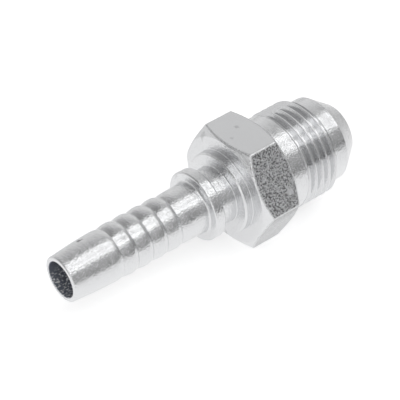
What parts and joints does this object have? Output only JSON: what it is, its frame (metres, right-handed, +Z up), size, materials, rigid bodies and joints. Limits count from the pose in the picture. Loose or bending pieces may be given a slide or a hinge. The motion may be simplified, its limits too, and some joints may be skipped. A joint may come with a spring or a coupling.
{
  "type": "hydraulic hose fitting",
  "caption": "Straight male flare hose insert: barbed hose tail with a locking collar, hexagon, external thread and cone seat, turned as one piece and bored through.",
  "frame": {"origin": "centre of the bounding box in plan, on the surface that the lowest hexagon flat lies on", "axes": "+X along the fitting's axis from the hose tail to the nose, +Z up from the lowest hexagon flat, +Y to the left seen from the tail"},
  "size_m": [0.0632, 0.025, 0.0217],
  "materials": {
    "zinc_plated_steel": "bright zinc plate over turned steel, reflective, with faint tool marks and light handling marks"
  },
  "bodies": {
    "root": {"fitting_body": "zinc_plated_steel"}
  },
  "joints": []
}
